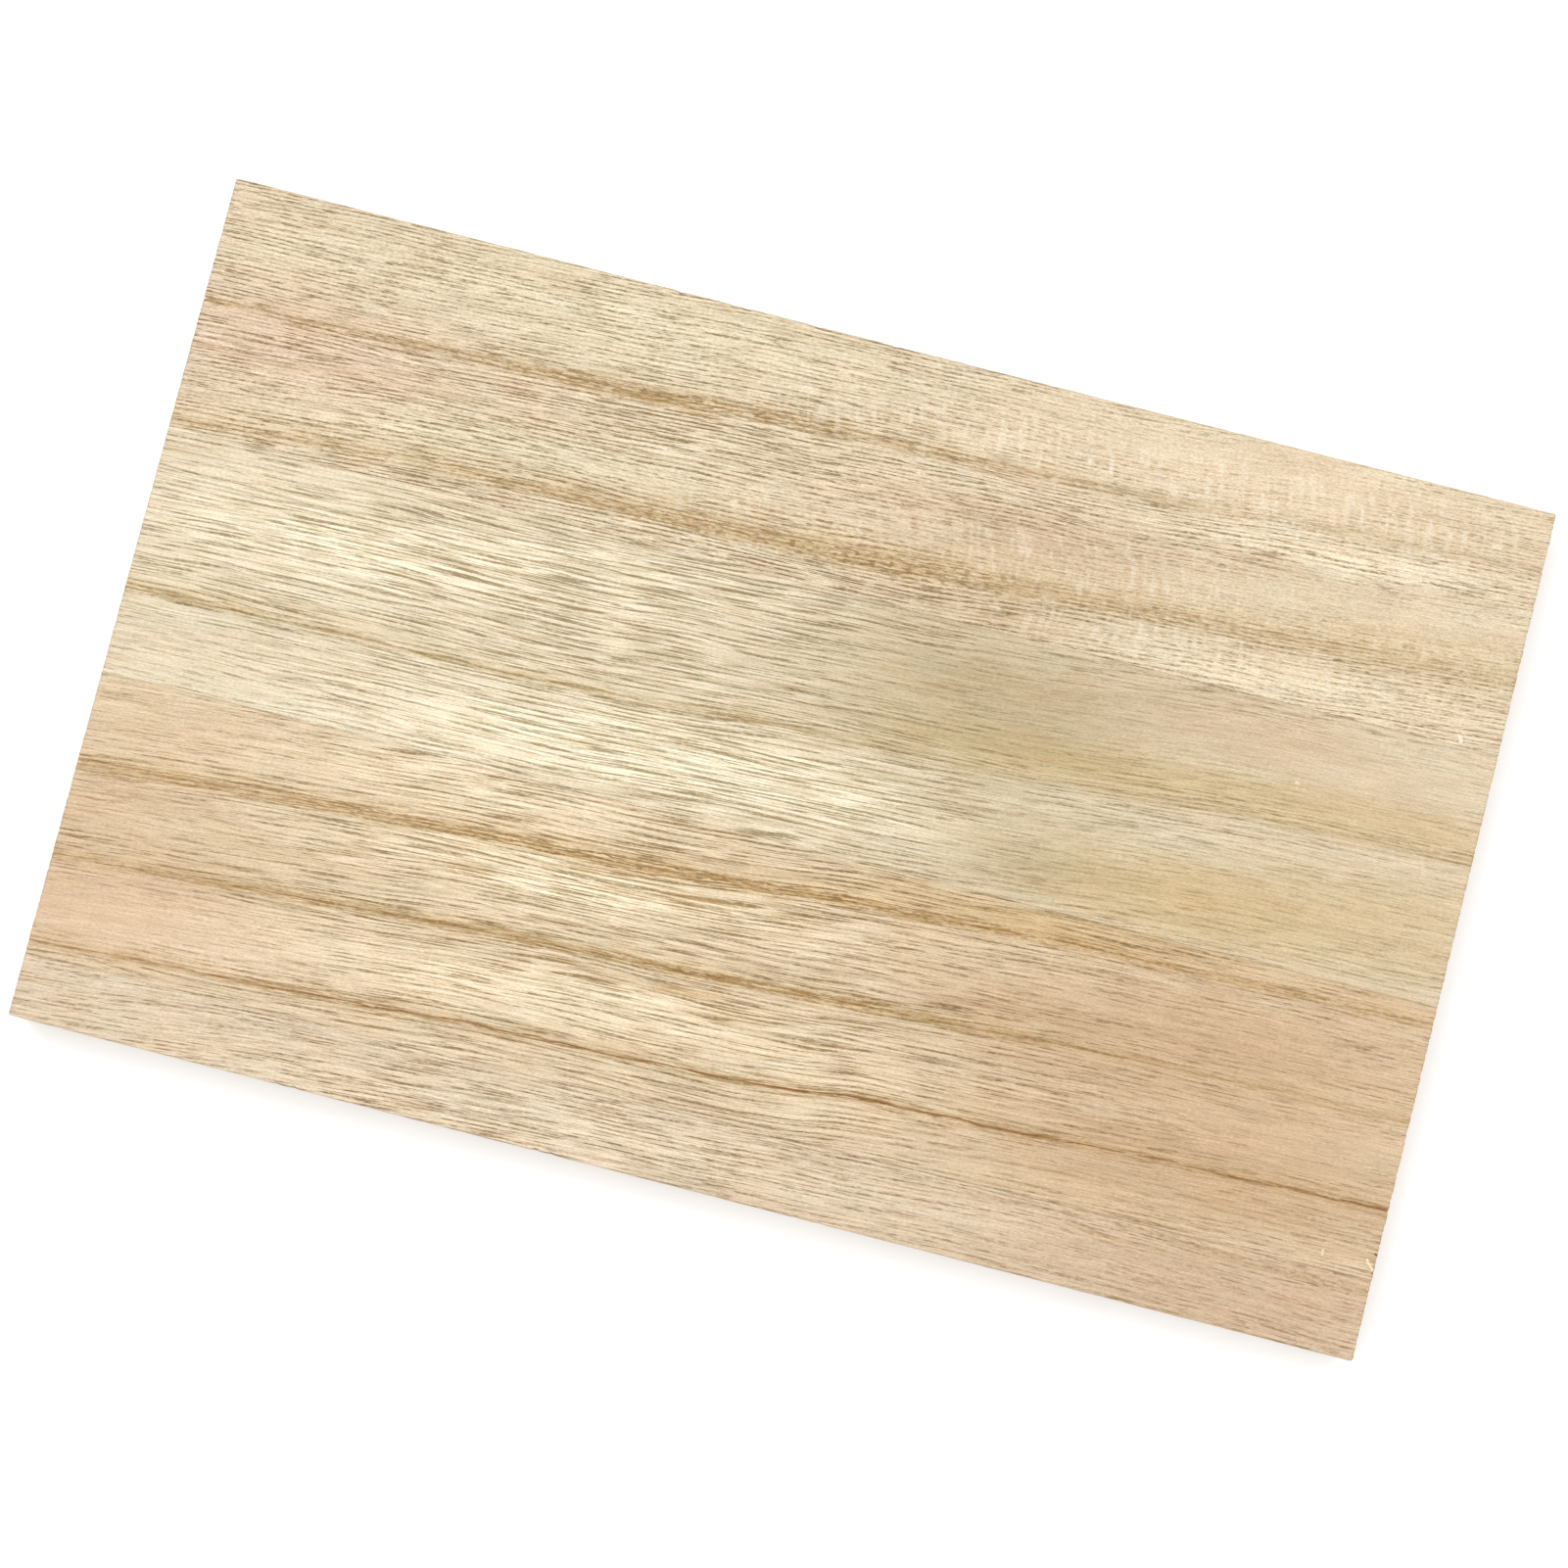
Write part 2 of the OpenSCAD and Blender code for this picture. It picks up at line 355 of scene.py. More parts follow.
# ---------------------------------------------------------------------------
# One lath as a closed mesh: a fine grid on the face, eased edges, walls that
# step down to a coarser grid on the back
# ---------------------------------------------------------------------------
def build_lath(i):
    nx, ny = GRIDS[i]
    cx, cy = nx // 3, ny // 3
    r_end = EASE
    r_rear = EASE if i == 0 else 0.012
    r_front = EASE if i == 3 else 0.012

    def plan(u, v):
        fx = L * u
        rear, front = seam(i, fx), seam(i + 1, fx)
        return fx - L / 2, W / 2 - (front + (rear - front) * v)

    # Top grid
    a, b = np.meshgrid(np.arange(nx + 1), np.arange(ny + 1), indexing="ij")
    X, Y = plan(a / nx, b / ny)
    X, Y = X.ravel(), Y.ravel()
    A, B = a.ravel(), b.ravel()

    def per(n, m):
        p = [(k, 0) for k in range(n)] + [(n, k) for k in range(m)] \
            + [(n - k, m) for k in range(n)] + [(0, m - k) for k in range(m)]
        return np.array(p)

    fine, coarse = per(nx, ny), per(cx, cy)
    top_of = lambda p: p[:, 0] * (ny + 1) + p[:, 1]
    bot_of = lambda p: p[:, 0] * (cy + 1) + p[:, 1]

    def rim(p, n, m, inset, jag):
        """Perimeter points at a share of the easing inwards, 0 to 1."""
        u, v = p[:, 0] / n, p[:, 1] / m
        x, y = plan(u, v)
        left, right = p[:, 0] == 0, p[:, 0] == n
        front, rear = p[:, 1] == 0, p[:, 1] == m
        sx = left * 1.0 - right * 1.0
        sy = front * 1.0 - rear * 1.0
        rad = np.where(front, r_front, r_rear)
        outer = (front & (i == 3)) | (rear & (i == 0))
        x = x + sx * (r_end * inset + jag[0])
        y = y + sy * (rad * inset + np.where(outer, jag[1], 0.0))
        corner = (left | right) & outer
        x = x + corner * sx * 0.14
        y = y + corner * sy * 0.14
        return x, y

    # Unevenness of the sawn ends and edges, and small nicks along the rear edge
    fpx, fpy = plan(fine[:, 0] / nx, fine[:, 1] / ny)
    ffx, ffy = fpx + L / 2, W / 2 - fpy
    jag_end = 0.10 * noise(ffy / 0.55, ffx * 0 + 3, None, 81 + i) ** 2 \
        + 0.05 * noise(ffy / 3.0, ffx * 0 + 9, None, 82 + i)
    right_half = ffx > L / 2
    jag_end = jag_end * np.where(right_half, 1.7, 1.0)
    jag_long = 0.05 * noise(ffx / 2.2, ffy * 0 + 5, None, 83 + i)
    chip = np.zeros(len(fine))
    if i == 0:
        for k in range(27):
            at = 101.5 + 3.2 * k + 1.3 * math.sin(7.3 * k)
            deep = (0.17 + 0.11 * math.sin(5.1 * k + 1)) * (1.0 if k < 19 else 0.55)
            reach = 0.62 + 0.28 * math.sin(3.7 * k + 2)
            chip = np.maximum(chip, deep * np.exp(-((ffx - at) / reach) ** 2))
        chip = np.where(fine[:, 1] == ny, chip, 0.0)
    if i == 3:
        for at, deep in ((118, 0.25), (121.5, 0.2), (60, 0.12), (64, 0.15), (176, 0.14), (181, 0.1)):
            chip = np.maximum(chip, deep * np.exp(-((ffx - at) / 0.6) ** 2))
        chip = np.where(fine[:, 1] == 0, chip, 0.0)

    verts, blocks = [], []

    def add(x, y, z):
        start = sum(len(v) for v in verts)
        verts.append(np.stack([x, y, z], 1))
        return start

    # Face relief
    Z = np.full(len(X), T)
    g, d, amp, wid, tone, mask = grain(i, X, Y, Z)
    ves = vessels(g, mask[:, 0])
    dz = -0.055 * ves
    for k in range(3):
        dz = dz + 0.022 * amp[:, k] * np.exp(-(d[:, k] / (wid[:, k] + 0.3)) ** 2)
    dz = dz - 0.020 * (noise(g[:, 0] / 30, g[:, 1] / 3.5, None, 91) - 0.5)
    dz = np.minimum(dz - 0.012, 0.0)
    inner = (A > 0) & (A < nx) & (B > 0) & (B < ny)
    Z = Z + np.where(inner, dz, -0.012)
    border = top_of(fine)
    bx, by = rim(fine, nx, ny, 1.0, (jag_end + 0.02, jag_long + chip))
    X[border], Y[border] = bx, by
    for outer, row0, way in ((i == 0, ny, -1), (i == 3, 0, 1)):
        if outer:
            col_of = np.arange(nx + 1) * (ny + 1)
            for k in range(1, 5):
                row = col_of + row0 + way * k
                limit = Y[col_of + row0] + way * 0.07 * k
                Y[row] = np.minimum(Y[row], limit) if way < 0 else np.maximum(Y[row], limit)
    # A hairline groove at each glue joint
    rear_seam = (B == ny) & (i > 0)
    front_seam = (B == 0) & (i < 3)
    groove = 0.015 + 0.035 * noise(X / 6.0, X * 0, None, 95 + i)
    Z = Z - np.where(rear_seam | front_seam, groove, 0.0)
    Z[border] -= chip * 0.5
    s_top = add(X, Y, Z)
    g_top, n_top = s_top, len(X)

    # Fine rim levels
    levels = []
    for k in (1, 2, 3):
        th = math.radians(30 * k)
        x, y = rim(fine, nx, ny, 1 - math.sin(th), (jag_end, jag_long + chip))
        drop = np.where((fine[:, 0] == 0) | (fine[:, 0] == nx), r_end,
                        np.where(fine[:, 1] == 0, r_front, r_rear)) * (1 - math.cos(th))
        z = T - 0.012 - drop - chip * (0.5 - 0.1 * k)
        on_seam = ((fine[:, 1] == 0) & (i < 3)) | ((fine[:, 1] == ny) & (i > 0))
        on_seam &= (fine[:, 0] != 0) & (fine[:, 0] != nx)
        z = np.where(on_seam, T - 0.12 - 0.06 * k, z)
        levels.append(add(x, y, z))
    x, y = rim(fine, nx, ny, 0.0, (jag_end * 0.8, jag_long + chip * 0.45))
    levels.append(add(x, y, np.full(len(x), T - 0.95)))

    # Coarse levels down to the back
    cpx, cpy = plan(coarse[:, 0] / cx, coarse[:, 1] / cy)
    cfx, cfy = cpx + L / 2, W / 2 - cpy
    low = []
    for z, ins in ((7.0, 0), (5.2, 0), (3.4, 0), (1.7, 0), (0.30, 0), (0.09, 0.5)):
        je = 0.07 * noise(cfy / 1.1, cfx * 0 + z, None, 84 + i)
        jl = 0.05 * noise(cfx / 3.0, cfy * 0 + z, None, 85 + i)
        x, y = rim(coarse, cx, cy, ins, (je, jl))
        low.append(add(x, y, np.full(len(x), z)))

    # Back grid
    a2, b2 = np.meshgrid(np.arange(cx + 1), np.arange(cy + 1), indexing="ij")
    X2, Y2 = plan(a2 / cx, b2 / cy)
    X2, Y2 = X2.ravel(), Y2.ravel()
    Z2 = 0.010 * noise((X2 + 150) / 12, (Y2 + 95) / 2.5, None, 96 + i)
    edge2 = bot_of(coarse)
    x, y = rim(coarse, cx, cy, 1.0, (0.0, 0.0))
    X2[edge2], Y2[edge2], Z2[edge2] = x, y, 0.0
    seam2 = ((b2.ravel() == 0) & (i < 3)) | ((b2.ravel() == cy) & (i > 0))
    Z2 = np.where(seam2, 0.06, Z2)
    s_bot = add(X2, Y2, Z2)

    V = np.concatenate(verts)

    # Faces, block by block, with a place for each block in the bake's map
    faces, uv_kind = [], []

    def quads(q, kind):
        faces.extend(q.tolist())
        uv_kind.append((len(q), q.shape[1], kind, q))

    ia, ib = np.meshgrid(np.arange(nx), np.arange(ny), indexing="ij")
    k0 = (ia * (ny + 1) + ib).ravel() + s_top
    quads(np.stack([k0, k0 + ny + 1, k0 + ny + 2, k0 + 1], 1), "top")

    P = len(fine)
    side = np.concatenate([np.full(nx, 0), np.full(ny, 1), np.full(nx, 2), np.full(ny, 3)])
    here, nxt = np.arange(P), (np.arange(P) + 1) % P
    upper = border + s_top
    for s in levels:
        lower = s + np.arange(P)
        q = np.stack([lower[here], lower[nxt], upper[nxt], upper[here]], 1)
        for k in range(4):
            quads(q[side == k], "wall%d" % k)
        upper = lower
    C = len(coarse)
    cside = np.concatenate([np.full(cx, 0), np.full(cy, 1), np.full(cx, 2), np.full(cy, 3)])
    ch, cn = np.arange(C), (np.arange(C) + 1) % C
    first = low[0] + np.arange(C)
    q = np.stack([first[ch], first[cn], upper[(3 * ch + 3) % P], upper[(3 * ch + 2) % P],
                  upper[(3 * ch + 1) % P], upper[(3 * ch) % P]], 1)
    for k in range(4):
        quads(q[cside == k], "wall%d" % k)
    upper = first
    for s in low[1:]:
        lower = s + np.arange(C)
        q = np.stack([lower[ch], lower[cn], upper[cn], upper[ch]], 1)
        for k in range(4):
            quads(q[cside == k], "wall%d" % k)
        upper = lower
    lower = edge2 + s_bot
    q = np.stack([lower[ch], lower[cn], upper[cn], upper[ch]], 1)
    for k in range(4):
        quads(q[cside == k], "wall%d" % k)
    ia, ib = np.meshgrid(np.arange(cx), np.arange(cy), indexing="ij")
    k0 = (ia * (cy + 1) + ib).ravel() + s_bot
    quads(np.stack([k0, k0 + 1, k0 + cy + 2, k0 + cy + 1], 1), "bottom")

    # Patterns are read where each point would be with no relief
    N = V.copy()
    N[:n_top, 2] = T
    g, d, amp, wid, tone, mask = grain(i, N[:, 0], N[:, 1], N[:, 2])
    ves = vessels(g, mask[:, 0])
    fx, fy = N[:, 0] + L / 2, W / 2 - N[:, 1]
    to_rear = fy - seam(i, fx)
    to_front = seam(i + 1, fx) - fy
    to_end = np.minimum(fx, L - fx)
    # dark colour for the nicks: torn fibres, and painted shade inside the notches
    chip_fibres_and_shade = np.zeros(len(V))
    chip_fibres_and_shade[border + s_top] = chip
    for outer, row0, way in ((i == 0, ny, -1), (i == 3, 0, 1)):
        if outer:
            col_of = np.arange(nx + 1) * (ny + 1) + s_top
            on_edge = chip_fibres_and_shade[col_of + row0]
            chip_fibres_and_shade[col_of + row0 + way] = on_edge * 0.9
    for s, share in zip(levels, (1.0, 0.9, 0.5, 0.0)):
        chip_fibres_and_shade[s:s + P] = chip * share
    edges = np.stack([to_rear, to_front, to_end], 1)

    me = bpy.data.meshes.new(NAMES[i] + "_wood")
    me.from_pydata((V / 1000.0).tolist(), [], faces)

    def put(name, kind, field, data):
        at = me.attributes.new(name, kind, "POINT")
        at.data.foreach_set(field, np.ascontiguousarray(data, dtype=np.float32).ravel())

    put("grain", "FLOAT_VECTOR", "vector", g)
    put("ring_d", "FLOAT_VECTOR", "vector", d)
    put("ring_a", "FLOAT_VECTOR", "vector", amp)
    put("ring_w", "FLOAT_VECTOR", "vector", wid)
    put("mask", "FLOAT_VECTOR", "vector", mask)
    put("edge", "FLOAT_VECTOR", "vector", edges)
    put("place", "FLOAT_VECTOR", "vector", np.stack([fx, fy, N[:, 2]], 1))
    # the pore grooves, the dark colour of the nicks (torn fibres with painted shade in the notches) and the depth
    put("wear_and_chip_shade", "FLOAT_VECTOR", "vector", np.stack([ves, np.clip(chip_fibres_and_shade * 4, 0, 1), N[:, 2] / T], 1))
    put("tone", "FLOAT_COLOR", "color", np.concatenate([tone, np.ones((len(tone), 1))], 1))

    # The bake's map: the face and the back side by side, more finely across
    # the grain than along it, then the two long edges and the two ends
    uv = me.uv_layers.new(name="OFBake")
    vv = (seam(i + 1, fx) - fy) / (seam(i + 1, fx) - seam(i, fx))
    uu, zz = fx / L, N[:, 2] / T
    out = []
    for n, k, kind, q in uv_kind:
        idx = q.ravel()
        if kind == "top":
            c = np.stack([0.004 + 0.992 * uu[idx], 0.004 + 0.456 * vv[idx]], 1)
        elif kind == "bottom":
            c = np.stack([0.004 + 0.992 * uu[idx], 0.470 + 0.366 * vv[idx]], 1)
        elif kind == "wall0":
            c = np.stack([0.004 + 0.992 * uu[idx], 0.846 + 0.036 * zz[idx]], 1)
        elif kind == "wall2":
            c = np.stack([0.004 + 0.992 * uu[idx], 0.890 + 0.036 * zz[idx]], 1)
        elif kind == "wall1":
            c = np.stack([0.004 + 0.480 * vv[idx], 0.934 + 0.058 * zz[idx]], 1)
        else:
            c = np.stack([0.510 + 0.480 * vv[idx], 0.934 + 0.058 * zz[idx]], 1)
        out.append(c)
    uv.uv.foreach_set("vector", np.concatenate(out).astype(np.float32).ravel())

    me.polygons.foreach_set("use_smooth", np.ones(len(me.polygons), bool))
    me.set_sharp_from_angle(angle=math.radians(38))
    me.update()
    ob = bpy.data.objects.new(NAMES[i] + "_wood", me)
    bpy.context.scene.collection.objects.link(ob)
    return ob


# ---------------------------------------------------------------------------
# Node helpers
# ---------------------------------------------------------------------------
class Tree:
    def __init__(self, name):
        self.mat = bpy.data.materials.new(name)
        self.mat.use_nodes = True
        self.t = self.mat.node_tree
        self.t.nodes.clear()
        self.attrs = {}

    def node(self, kind, **props):
        n = self.t.nodes.new(kind)
        for k, v in props.items():
            setattr(n, k, v)
        return n

    def set(self, socket, value):
        if isinstance(value, bpy.types.NodeSocket):
            self.t.links.new(value, socket)
        else:
            socket.default_value = value

    def attr(self, name, part="Vector"):
        if name not in self.attrs:
            self.attrs[name] = self.node("ShaderNodeAttribute", attribute_name=name)
        return self.attrs[name].outputs[part]

    def split(self, name):
        key = "split " + name
        if key not in self.attrs:
            s = self.node("ShaderNodeSeparateXYZ")
            self.set(s.inputs[0], self.attr(name))
            self.attrs[key] = s
        return self.attrs[key].outputs

    def math(self, op, a, b=0.0, c=0.0, clamp=False):
        n = self.node("ShaderNodeMath", operation=op, use_clamp=clamp)
        self.set(n.inputs[0], a)
        self.set(n.inputs[1], b)
        self.set(n.inputs[2], c)
        return n.outputs[0]

    def add(self, a, b):
        return self.math("ADD", a, b)

    def sub(self, a, b):
        return self.math("SUBTRACT", a, b)

    def mul(self, *v):
        out = v[0]
        for x in v[1:]:
            out = self.math("MULTIPLY", out, x)
        return out

    def ramp(self, x, a, b, c=0.0, d=1.0):
        n = self.node("ShaderNodeMapRange", interpolation_type="SMOOTHSTEP", clamp=True)
        self.set(n.inputs["Value"], x)
        for k, v in zip(("From Min", "From Max", "To Min", "To Max"), (a, b, c, d)):
            self.set(n.inputs[k], v)
        return n.outputs["Result"]

    def scaled(self, vec, s, off=(0, 0, 0)):
        n = self.node("ShaderNodeVectorMath", operation="MULTIPLY_ADD")
        self.set(n.inputs[0], vec)
        n.inputs[1].default_value = s
        n.inputs[2].default_value = off
        return n.outputs[0]

    def noise(self, vec, s, off=(0, 0, 0), detail=1.0, rough=0.5, dist=0.0):
        n = self.node("ShaderNodeTexNoise", noise_dimensions="3D", normalize=True)
        self.set(n.inputs["Vector"], self.scaled(vec, s, off))
        n.inputs["Scale"].default_value = 1.0
        n.inputs["Detail"].default_value = detail
        n.inputs["Roughness"].default_value = rough
        n.inputs["Distortion"].default_value = dist
        return n.outputs[0]

    def mix(self, fac, a, b, how="MIX"):
        n = self.node("ShaderNodeMix", data_type="RGBA", blend_type=how, clamp_factor=True)
        self.set(n.inputs[0], fac)
        for s, v in ((n.inputs[6], a), (n.inputs[7], b)):
            if isinstance(v, tuple) and len(v) == 3:
                v = (*v, 1.0)
            self.set(s, v)
        return n.outputs[2]


RING_INK = {
    # body, zone beside it, threads; then how speckled it is, how threaded, and
    # how strong its middle thread is
    "r1": ((218, 188, 134), (230, 204, 160), (142, 108, 64), 1.00, 0.85, 0.25),
    "r2": ((214, 184, 132), (222, 194, 148), (146, 112, 68), 0.95, 0.60, 0.14),
    "r3": ((214, 180, 114), (226, 198, 144), (126, 94, 46), 0.40, 1.00, 0.40),
    "r4": ((214, 180, 116), (222, 191, 140), (144, 101, 47), 0.70, 1.00, 0.35),
    "r5": ((214, 180, 114), (222, 196, 144), (142, 101, 48), 0.55, 1.00, 0.55),
    "r6": ((206, 168, 104), (220, 190, 142), (134, 90, 42), 0.35, 1.00, 0.85),
    "r7": ((208, 172, 126), (212, 178, 132), (124, 90, 52), 0.90, 0.35, 0.25),
}
# How long the pores run in each lath, against the usual
RUN = [0.48, 1.05, 0.95, 0.72]
# How closely the pore lines lie, against the usual
PITCH = [1.0, 0.88, 0.88, 1.0]
# How strong the finer lines between the pore lines are
FINE = [0.50, 0.62, 0.62, 0.75]
# What the pores do to the wood's colour, and the soft smears between them
PORE_INK = [(162, 147, 119), (172, 163, 141), (166, 152, 125), (166, 152, 125)]
SMEAR_INK = [(237, 228, 214), (238, 232, 221), (237, 230, 217), (237, 228, 214)]
# Glue joints: how dark the line is at the left and at the right
JOINT = [(0.10, 0.30), (0.12, 0.30), (0.10, 0.45)]


def wood(i):
    m = Tree(NAMES[i] + "_wood")
    G = m.attr("grain")
    gx, gy = m.split("grain")[0], m.split("grain")[1]
    pore_k, patch, fleck = m.split("mask")[0], m.split("mask")[1], m.split("mask")[2]
    groove, chip_fibres_and_shade = m.split("wear_and_chip_shade")[0], m.split("wear_and_chip_shade")[1]
    geo = m.node("ShaderNodeNewGeometry")
    nrm = m.node("ShaderNodeSeparateXYZ")
    m.set(nrm.inputs[0], geo.outputs["True Normal"])
    endness = m.ramp(m.math("ABSOLUTE", nrm.outputs[0]), 0.6, 0.85)
    facing = m.sub(1.0, endness)

    # Fine fibres and broad soft streaks
    col = m.attr("tone", "Color")
    fib = m.noise(G, (0.13, 4.2, 4.2), (3, 1, 0), 1.0, 0.6)
    col = m.mix(1.0, col, m.mix(m.ramp(fib, 0.30, 0.70), srgb(238, 236, 232), srgb(255, 255, 255)), "MULTIPLY")
    band = m.noise(G, (0.035, 0.9, 0.9), (9, 4, 0), 2.0, 0.55)
    col = m.mix(m.ramp(band, 0.46, 0.70, 0.0, 0.35), col, m.mix(1.0, col, srgb(238, 228, 212), "MULTIPLY"))

    smear = m.noise(G, (0.085, 0.48, 0.48) if i in (1, 2) else (0.060, 0.42, 0.42), (6, 9, 2), 2.0, 0.5)
    smear = m.mul(m.ramp(smear, 0.50, 0.62), m.ramp(pore_k, 0.55, 1.1, 0.25, 1.0))
    col = m.mix(m.mul(smear, 0.62 if i in (1, 2) else 0.30), col, m.mix(1.0, col, srgb(*SMEAR_INK[i]), "MULTIPLY"))

    # Tan zones beside the ring lines
    dash = m.noise(G, (0.11, 2.9, 2.9), (1, 8, 3), 1.0, 0.6)
    wander = m.noise(G, (0.14, 0.6, 0.6), (2, 6, 4), 2.0, 0.5)
    jitter = m.noise(G, (0.30, 0.9, 0.9), (4, 4, 6), 1.0, 0.5)
    broken = m.noise(G, (0.10, 1.5, 1.5), (6, 1, 5), 1.0, 0.5)
    bead = m.noise(G, (0.70, 2.9, 2.9), (5, 5, 1), 1.0, 0.6)
    grit = m.noise(G, (0.34, 5.2, 5.2), (7, 1, 6), 1.0, 0.6)
    dots = m.noise(G, (0.50, 1.9, 1.9), (2, 9, 5), 0.5, 0.5)
    specks = m.ramp(dots, 0.55, 0.62)
    cores = []
    for k, r in enumerate(LATH_RINGS[i]):
        up, dn, strong = HALO[r]
        d = m.split("ring_d")[k]
        amp = m.split("ring_a")[k]
        wid = m.split("ring_w")[k]
        dd = m.add(m.add(d, m.mul(m.sub(wander, 0.5), 1.3)), m.mul(m.sub(jitter, 0.5), 0.40))
        strand = m.math("SINE", m.mul(m.add(m.mul(dd, 1.02), 0.25), 2.0 * math.pi))
        threads = m.mul(m.ramp(strand, 0.25, 0.80), m.ramp(broken, 0.40, 0.48), m.ramp(bead, 0.36, 0.50, 0.25, 1.0))
        above = m.ramp(dd, -2.2 * up, 0.0)
        below = m.ramp(dd, 2.2 * dn, 0.0)
        halo = m.mul(above, below, amp, m.ramp(dash, 0.36, 0.60, 0.55, 1.0), m.ramp(grit, 0.36, 0.58, 0.60, 1.12), strong)
        col = m.mix(halo, col, srgb(*RING_INK[r][1]))
        n = m.math("DIVIDE", m.math("ABSOLUTE", dd), wid)
        core = m.mul(m.ramp(n, 1.9, 0.3), amp)
        main = m.mul(m.ramp(m.add(n, m.mul(m.sub(bead, 0.5), 0.9)), 0.95, 0.40), m.ramp(dash, 0.44, 0.54, 0.12, 1.0), amp)
        cores.append((m.mul(core, m.ramp(strand, -0.7, 0.4, 0.55, 1.0)), r, n, amp, threads, main))

    # Pores: fine parallel dark lines about a millimetre apart, broken into
    # dashes, finer ones between them, and soft patches where they nearly vanish
    warp = m.noise(G, (0.016, 0.14, 0.14), (3, 5, 8), 1.0, 0.5)
    warp2 = m.noise(G, (0.05, 0.7, 0.7), (1, 2, 8), 0.0, 0.5)
    at = m.add(m.add(m.mul(gy, 1.02 * PITCH[i]), m.mul(warp, 3.0)), m.mul(warp2, 0.60 if i == 0 else 0.85))
    wave = m.math("SINE", m.mul(at, 2.0 * math.pi))
    wave2 = m.math("SINE", m.mul(m.add(at, m.mul(warp2, 0.35)), 2.0 * math.pi * 2.13))
    run = 1.0 / RUN[i]
    cut = m.noise(G, (0.070 * run, 1.3, 1.3), (5, 7, 9), 1.0, 0.5)
    cut2 = m.noise(G, (0.105 * run, 2.1, 2.1), (9, 1, 4), 1.0, 0.5)
    p1 = m.noise(G, (0.055 * run, 3.1, 3.1), (0, 0, 0), 0.5, 0.5)
    gap = m.noise(G, (0.050, 0.28, 0.28), (7, 5, 2), 1.0, 0.5)
    open_ = m.ramp(gap, 0.34, 0.52, 0.55, 1.0)
    short = m.noise(G, (0.24 * run, 1.9, 1.9), (8, 2, 2), 1.0, 0.5)
    keep = m.ramp(pore_k, 0.25, 1.0, 0.05, 0.85)
    line_a = m.mul(m.ramp(wave, 0.08, 0.72), m.ramp(cut, *((0.37, 0.51) if i == 0 else (0.40, 0.55))), facing)
    line_b = m.mul(m.ramp(wave2, 0.18, 0.85), m.ramp(cut2, 0.42, 0.58), facing, FINE[i])
    bold = m.ramp(p1, 0.60, 0.67)
    pores = m.mul(m.math("MAXIMUM", m.math("MAXIMUM", line_a, line_b), bold), open_)
    pores = m.mul(pores, m.ramp(short, 0.40, 0.56, keep, 1.15), m.ramp(bead, 0.34, 0.56, 0.62, 1.12))
    pores = m.math("MAXIMUM", pores, m.mul(groove, 0.22))
    pores = m.math("MINIMUM", m.mul(pores, pore_k, 1.08), 1.0)
    ink = m.mix(1.0, col, srgb(*PORE_INK[i]), "MULTIPLY")
    col = m.mix(pores, col, ink)
    # Pale fibres between them
    pale = m.mul(m.ramp(wave, -0.35, -0.95), m.ramp(cut, 0.36, 0.60), pore_k, facing)
    pale = m.math("MAXIMUM", pale, m.mul(m.ramp(p1, 0.42, 0.34), pore_k))
    pale = m.mul(pale, m.sub(1.0, pores))
    col = m.mix(m.mul(pale, 0.80), col, m.mix(1.0, col, (1.10, 1.12, 1.16), "MULTIPLY"))

    # Brown patches, streaky
    pt = m.mul(patch, m.ramp(dash, 0.38, 0.56, 0.35, 1.0))
    col = m.mix(m.mul(pt, 0.76), col, srgb(202, 168, 112))
    col = m.mix(m.mul(patch, m.ramp(broken, 0.48, 0.58), m.ramp(wave2, 0.0, 0.8), 0.6), col, srgb(140, 106, 64))

    # Ring lines: a golden body, with thin dark broken threads and specks in it
    for core, r, n, amp, threads, main in cores:
        body, beside, dark, spotty, stringy, bold_line = RING_INK[r]
        col = m.mix(m.mul(core, m.ramp(dash, 0.38, 0.58, 0.25, 1.0), m.ramp(grit, 0.36, 0.58, 0.35, 1.0), 0.86), col, srgb(*body))
        wide = m.mul(m.ramp(n, 1.9, 0.5), amp)
        if stringy:
            col = m.mix(m.mul(wide, threads, stringy), col, srgb(*dark))
        single = m.ramp(m.split("ring_w")[LATH_RINGS[i].index(r)], 0.90, 0.62, 0.62, 1.0) if r == "r6" else 1.0
        col = m.mix(m.mul(main, bold_line, single), col, srgb(*dark))
        if spotty:
            col = m.mix(m.mul(wide, specks, spotty * 0.75), col, srgb(*dark))

    # Pale marks across the grain: soft, about a millimetre wide, leaning a
    # little, with the fibres showing through them
    lean = m.node("ShaderNodeCombineXYZ")
    m.set(lean.inputs[0], m.sub(gx, m.mul(gy, 0.17)))
    m.set(lean.inputs[1], gy)
    m.set(lean.inputs[2], m.split("grain")[2])
    f1 = m.noise(lean.outputs[0], (0.64, 0.12, 0.12), (8, 8, 8), 0.5, 0.5)
    f2 = m.noise(G, (0.16, 0.30, 0.30), (1, 3, 9), 1.0, 0.5)
    f3 = m.noise(G, (0.9, 1.5, 1.5), (7, 3, 5), 1.0, 0.6)
    bars = m.add(f1, m.mul(m.sub(f3, 0.5), 0.11))
    marks = m.mul(m.ramp(bars, 0.50, 0.66), m.ramp(f2, 0.40, 0.54, 0.35, 1.0), m.ramp(fib, 0.34, 0.62, 0.50, 1.0), fleck)
    col = m.mix(m.mul(marks, 0.66), col, srgb(255, 241, 218))
    shade = m.mul(m.ramp(bars, 0.46, 0.34), fleck, 0.20)
    col = m.mix(shade, col, m.mix(1.0, col, srgb(232, 214, 188), "MULTIPLY"))
